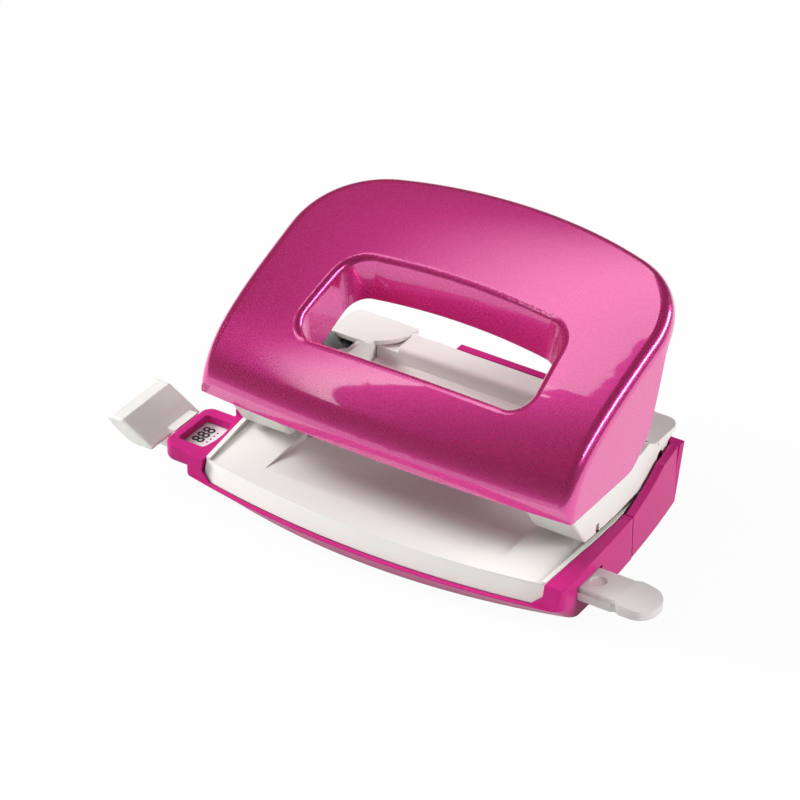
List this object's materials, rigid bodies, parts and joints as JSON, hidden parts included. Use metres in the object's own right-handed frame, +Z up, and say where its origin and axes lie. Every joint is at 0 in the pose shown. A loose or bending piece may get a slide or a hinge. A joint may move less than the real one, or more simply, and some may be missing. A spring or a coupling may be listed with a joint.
{
  "type": "two-hole desk punch",
  "caption": "Mini desk punch with a pressed handle with a finger opening, a white deck, a sliding paper guide with a window and a chip tray that pulls out at the back.",
  "frame": {"origin": "on the desk, under the middle of the line between the two punch pins", "axes": "+X to the right along the guide, +Y to the rear, +Z up"},
  "size_m": [0.1465, 0.0783, 0.0615],
  "materials": {
    "pink_plastic": "moulded plastic, satin gloss",
    "handle_paint": "metallic gloss paint with fine flake",
    "white_plastic": "moulded plastic, soft satin",
    "zinc_steel": "zinc-plated pressed steel",
    "bright_steel": "ground steel",
    "spring_steel": "drawn spring wire and strip",
    "bush_plastic": "dark self-lubricating plastic",
    "pad_rubber": "soft matt rubber",
    "label_card": "printed strip, plain numbers"
  },
  "bodies": {
    "base": {"base_shell": "pink_plastic", "paper_deck": "white_plastic", "left_cheek": "white_plastic", "right_cheek": "white_plastic", "rear_bridge": "white_plastic", "left_die": "zinc_steel", "right_die": "zinc_steel", "left_guide_bush": "bush_plastic", "right_guide_bush": "bush_plastic", "left_pivot_pin": "bright_steel", "right_pivot_pin": "bright_steel", "anti_slip_pads": "pad_rubber", "deck_screws": "zinc_steel", "body_screws": "zinc_steel", "detent_spring": "spring_steel", "left_return_spring": "spring_steel", "right_return_spring": "spring_steel"},
    "handle": {"handle_shell": "handle_paint", "left_lever_arm": "zinc_steel", "right_lever_arm": "zinc_steel"},
    "left_punch": {"left_punch_pin": "bright_steel", "left_spring_cap": "bush_plastic"},
    "right_punch": {"right_punch_pin": "bright_steel", "right_spring_cap": "bush_plastic"},
    "guide": {"guide_ruler": "white_plastic", "format_label": "label_card"},
    "tray": {"chip_tray": "pink_plastic"}
  },
  "joints": [
    {"name": "handle_press", "type": "hinge", "parent": "base", "child": "handle", "pos_m": [0, 0.024, 0.0144], "axis": [1, 0, 0], "range_deg": [0, 13.5], "stiffness_Nm_per_rad": 0.35, "springref_deg": -20.05},
    {"name": "left_pin_slide", "type": "slide", "parent": "base", "child": "left_punch", "axis": [0, 0, -1], "range_m": [0, 0.006], "deforming": ["left_return_spring"]},
    {"name": "right_pin_slide", "type": "slide", "parent": "base", "child": "right_punch", "axis": [0, 0, -1], "range_m": [0, 0.006], "deforming": ["right_return_spring"]},
    {"name": "guide_slide", "type": "slide", "parent": "base", "child": "guide", "axis": [-1, 0, 0], "range_m": [0, 0.08]},
    {"name": "tray_slide", "type": "slide", "parent": "base", "child": "tray", "axis": [0, 1, 0], "range_m": [0, 0.045]}
  ],
  "couplings": [
    {"joint": "left_pin_slide", "follows": "handle_press", "m_per_rad": 0.0247},
    {"joint": "right_pin_slide", "follows": "handle_press", "m_per_rad": 0.0247}
  ]
}
